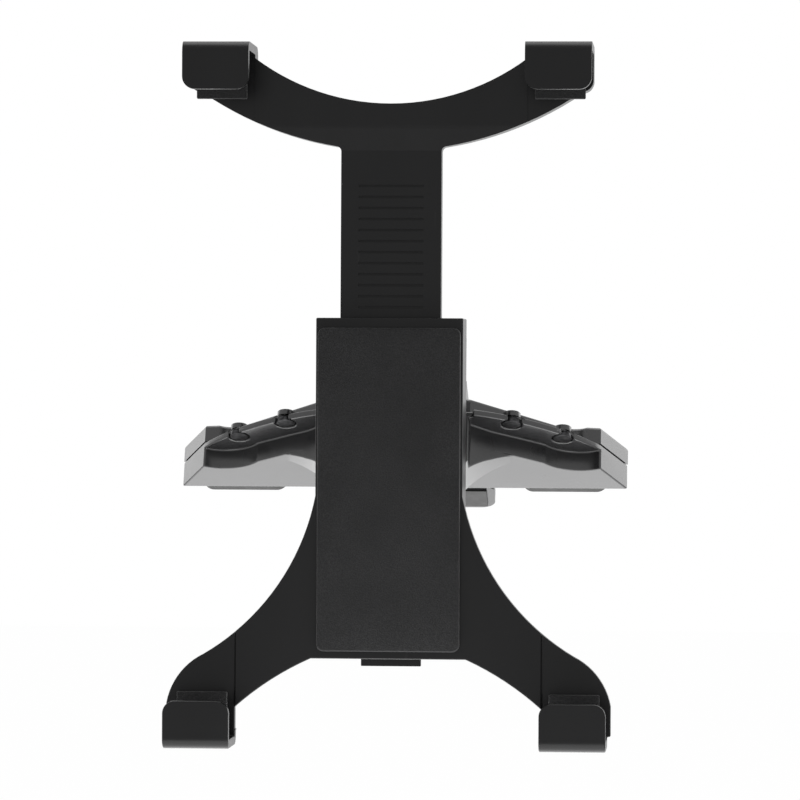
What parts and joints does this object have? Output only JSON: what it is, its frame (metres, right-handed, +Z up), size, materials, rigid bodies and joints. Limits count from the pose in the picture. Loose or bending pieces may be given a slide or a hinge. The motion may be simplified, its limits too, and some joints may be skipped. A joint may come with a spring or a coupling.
{
  "type": "disc slot tablet holder",
  "caption": "Black tablet holder that plugs into a car's disc slot: winged slot mount, ball joint and a sliding cradle with foam-lined claws.",
  "frame": {"origin": "middle of the slot jaws where they leave the back of the mount", "axes": "+X to the user's right, +Y away from the user into the dashboard, +Z up"},
  "size_m": [0.1204, 0.1015, 0.1806],
  "materials": {
    "black_plastic": "satin black moulded plastic",
    "rubber": "black rubber",
    "foam": "fine closed-cell foam, dark grey",
    "steel": "dark plated steel"
  },
  "bodies": {
    "mount": {"lower_shell": "black_plastic", "top_cover": "black_plastic", "shell_screws": "steel", "ball_cup": "black_plastic", "upper_jaw": "black_plastic", "upper_jaw_pad": "rubber", "left_wing_pad": "rubber", "right_wing_pad": "rubber"},
    "ring": {"clamp_ring": "black_plastic"},
    "wheel": {"lock_wheel": "black_plastic"},
    "jaw": {"lower_jaw": "black_plastic", "lower_jaw_pad": "rubber"},
    "ball": {"ball_stud": "black_plastic", "pivot_washer": "steel", "pivot_screw": "steel"},
    "cradle": {"cradle_plate": "black_plastic", "rear_cover": "black_plastic", "cover_screws": "steel", "release_pin": "steel", "release_spring": "steel", "front_pad": "foam", "lower_left_claw_pad": "foam", "lower_right_claw_pad": "foam"},
    "release": {"release_lever": "black_plastic"},
    "arm": {"upper_arm": "black_plastic", "upper_left_claw_pad": "foam", "upper_right_claw_pad": "foam"}
  },
  "joints": [
    {"name": "ball_tilt", "type": "hinge", "parent": "mount", "child": "ball", "pos_m": [0, -0.02871, 0.00942], "axis": [-1, 0, 0], "range_deg": [-2, 52]},
    {"name": "cradle_spin", "type": "hinge", "parent": "ball", "child": "cradle", "pos_m": [0, -0.02871, 0.00942], "axis": [0, 1, 0], "continuous": true},
    {"name": "arm_slide", "type": "slide", "parent": "cradle", "child": "arm", "axis": [0, 0, 1], "range_m": [-0.03, 0.01]},
    {"name": "release_rock", "type": "hinge", "parent": "cradle", "child": "release", "pos_m": [0, -0.05101, -0.02858], "axis": [-1, 0, 0], "range_deg": [0, 2.6], "stiffness_Nm_per_rad": 0.4},
    {"name": "ring_turn", "type": "hinge", "parent": "mount", "child": "ring", "pos_m": [0, -0.02871, 0.00942], "axis": [0, -0.9063, 0.4226], "range_deg": [0, 270]},
    {"name": "wheel_turn", "type": "hinge", "parent": "mount", "child": "wheel", "pos_m": [0, -0.01154, -0.00345], "axis": [0, 0.4226, 0.9063], "range_deg": [0, 690]},
    {"name": "jaw_spread", "type": "slide", "parent": "mount", "child": "jaw", "axis": [0, -0.4226, -0.9063], "range_m": [0, 0.0024]}
  ],
  "couplings": [
    {"joint": "jaw_spread", "follows": "wheel_turn", "m_per_rad": 0.00019927}
  ]
}
